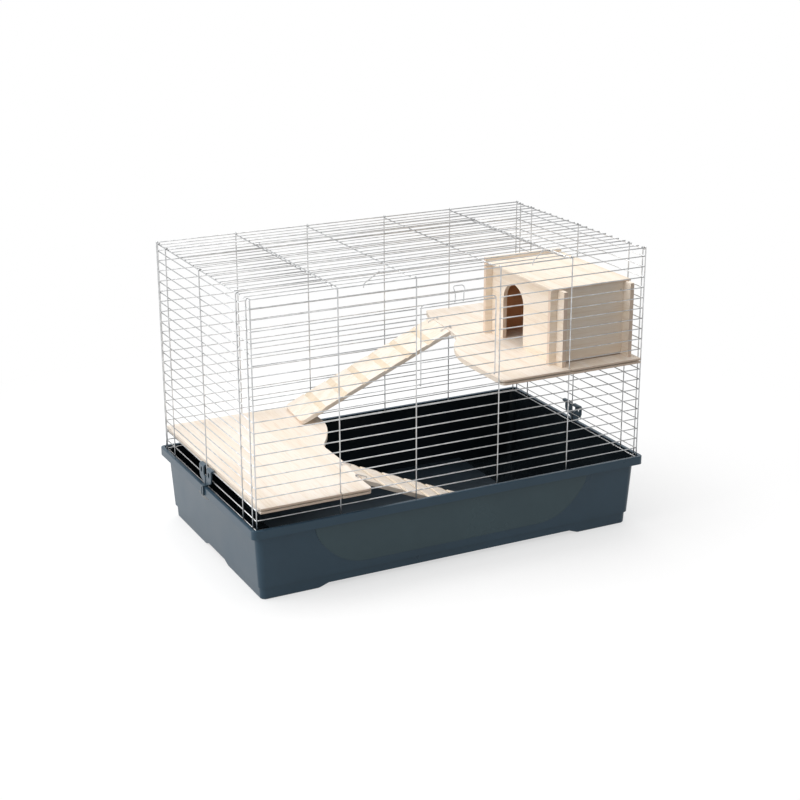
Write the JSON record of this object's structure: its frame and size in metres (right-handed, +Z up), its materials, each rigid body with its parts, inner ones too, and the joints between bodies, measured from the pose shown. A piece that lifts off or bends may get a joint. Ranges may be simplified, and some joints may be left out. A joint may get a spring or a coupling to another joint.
{
  "type": "rabbit cage",
  "caption": "Indoor small-animal cage: deep plastic tray, lift-off wire top with doors, wooden shelves, ramps and a wooden house.",
  "frame": {"origin": "centre of the tray's footprint, on the surface that its feet stand on", "axes": "+X along the cage towards the house end, -Y towards the side with the front door, +Z up"},
  "size_m": [1.0078, 0.595, 0.6854],
  "materials": {
    "tray_plastic": "moulded dark blue-grey polypropylene, satin gloss",
    "clip_plastic": "moulded grey plastic",
    "mesh_wire": "bright zinc-plated drawn wire",
    "hook_wire": "zinc-plated wire, a little duller",
    "shelf_wood": "sanded unvarnished softwood board",
    "ramp_wood": "sanded unvarnished softwood plank",
    "house_wood": "sanded unvarnished softwood board"
  },
  "bodies": {
    "tray": {"tray": "tray_plastic"},
    "cage": {"front_panel": "mesh_wire", "back_panel": "mesh_wire", "left_panel": "mesh_wire", "right_panel": "mesh_wire", "top_panel": "mesh_wire", "lower_platform": "shelf_wood", "upper_platform": "shelf_wood", "upper_ramp_eyes": "hook_wire", "lower_ramp_eyes": "hook_wire", "house_left_wall": "house_wood", "house_right_wall": "house_wood", "house_front_board": "house_wood", "house_back_board": "house_wood", "house_roof": "house_wood", "house_nails": "hook_wire"},
    "front_door": {"front_door": "mesh_wire"},
    "front_door_latch": {"front_door_latch": "hook_wire"},
    "top_door": {"top_door": "mesh_wire"},
    "top_latch_left": {"top_latch_left": "hook_wire"},
    "top_latch_right": {"top_latch_right": "hook_wire"},
    "clip_left": {"clip_left": "clip_plastic"},
    "clip_right": {"clip_right": "clip_plastic"},
    "upper_ramp": {"upper_ramp": "ramp_wood", "upper_ramp_hooks": "hook_wire"},
    "lower_ramp": {"lower_ramp": "ramp_wood", "lower_ramp_hooks": "hook_wire"}
  },
  "joints": [
    {"name": "cage_lift", "type": "slide", "parent": "tray", "child": "cage", "axis": [0, 0, 1], "range_m": [0, 0.25]},
    {"name": "front_door_hinge", "type": "hinge", "parent": "cage", "child": "front_door", "pos_m": [0, -0.2835, 0.44025], "axis": [1, 0, 0], "range_deg": [0, 110]},
    {"name": "front_latch_hinge", "type": "hinge", "parent": "front_door", "child": "front_door_latch", "pos_m": [0, -0.2861, 0.61945], "axis": [1, 0, 0], "range_deg": [0, 100]},
    {"name": "top_door_hinge", "type": "hinge", "parent": "cage", "child": "top_door", "pos_m": [0, 0.1575, 0.68105], "axis": [-1, 0, 0], "range_deg": [0, 165]},
    {"name": "top_latch_left_hinge", "type": "hinge", "parent": "top_door", "child": "top_latch_left", "pos_m": [-0.152, -0.2025, 0.68105], "axis": [-1, 0, 0], "range_deg": [0, 120]},
    {"name": "top_latch_right_hinge", "type": "hinge", "parent": "top_door", "child": "top_latch_right", "pos_m": [0.262, -0.2025, 0.68105], "axis": [-1, 0, 0], "range_deg": [0, 120]},
    {"name": "clip_left_hinge", "type": "hinge", "parent": "cage", "child": "clip_left", "pos_m": [-0.486, 0, 0.21885], "axis": [0, 1, 0], "range_deg": [0, 120]},
    {"name": "clip_right_hinge", "type": "hinge", "parent": "cage", "child": "clip_right", "pos_m": [0.486, 0, 0.21885], "axis": [0, -1, 0], "range_deg": [0, 120]},
    {"name": "upper_ramp_hinge", "type": "hinge", "parent": "cage", "child": "upper_ramp", "pos_m": [0.21095, 0.17108, 0.42565], "axis": [0.1028, 0.9947, 0], "range_deg": [0, 24]},
    {"name": "lower_ramp_hinge", "type": "hinge", "parent": "cage", "child": "lower_ramp", "pos_m": [-0.2185, -0.179, 0.22885], "axis": [0, -1, 0], "range_deg": [0, 22]}
  ]
}
